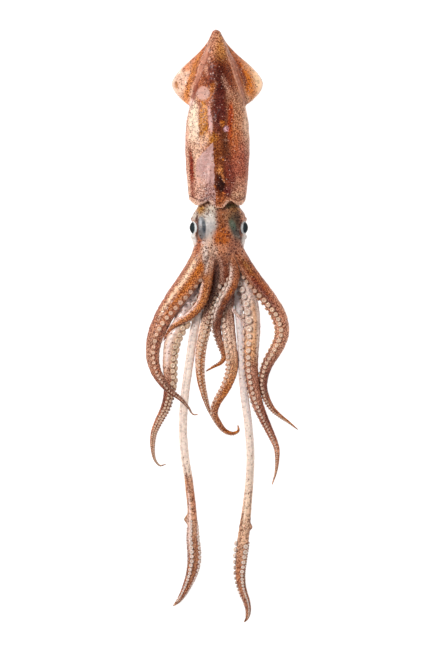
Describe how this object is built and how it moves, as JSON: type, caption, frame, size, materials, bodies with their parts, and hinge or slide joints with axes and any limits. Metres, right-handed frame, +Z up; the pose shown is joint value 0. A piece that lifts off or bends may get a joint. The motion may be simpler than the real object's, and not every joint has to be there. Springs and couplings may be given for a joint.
{
  "type": "whole raw squid",
  "caption": "Whole raw squid lying belly down: finned mantle, head with two eyes and a funnel, spread arms and two long tentacles.",
  "frame": {"origin": "middle of the flat belly, on the surface that the squid lies on", "axes": "+Y towards the mantle's tip, +X to the squid's right seen from above, +Z up out of its back"},
  "size_m": [0.152, 0.5937, 0.0335],
  "materials": {
    "skin": "wet mottled skin",
    "arm_skin": "wet spotted skin, pale towards the suckers",
    "eye": "clear wet lens"
  },
  "bodies": {
    "root": {"mantle": "skin", "head": "arm_skin", "eye_left": "eye", "eye_right": "eye"}
  },
  "joints": []
}
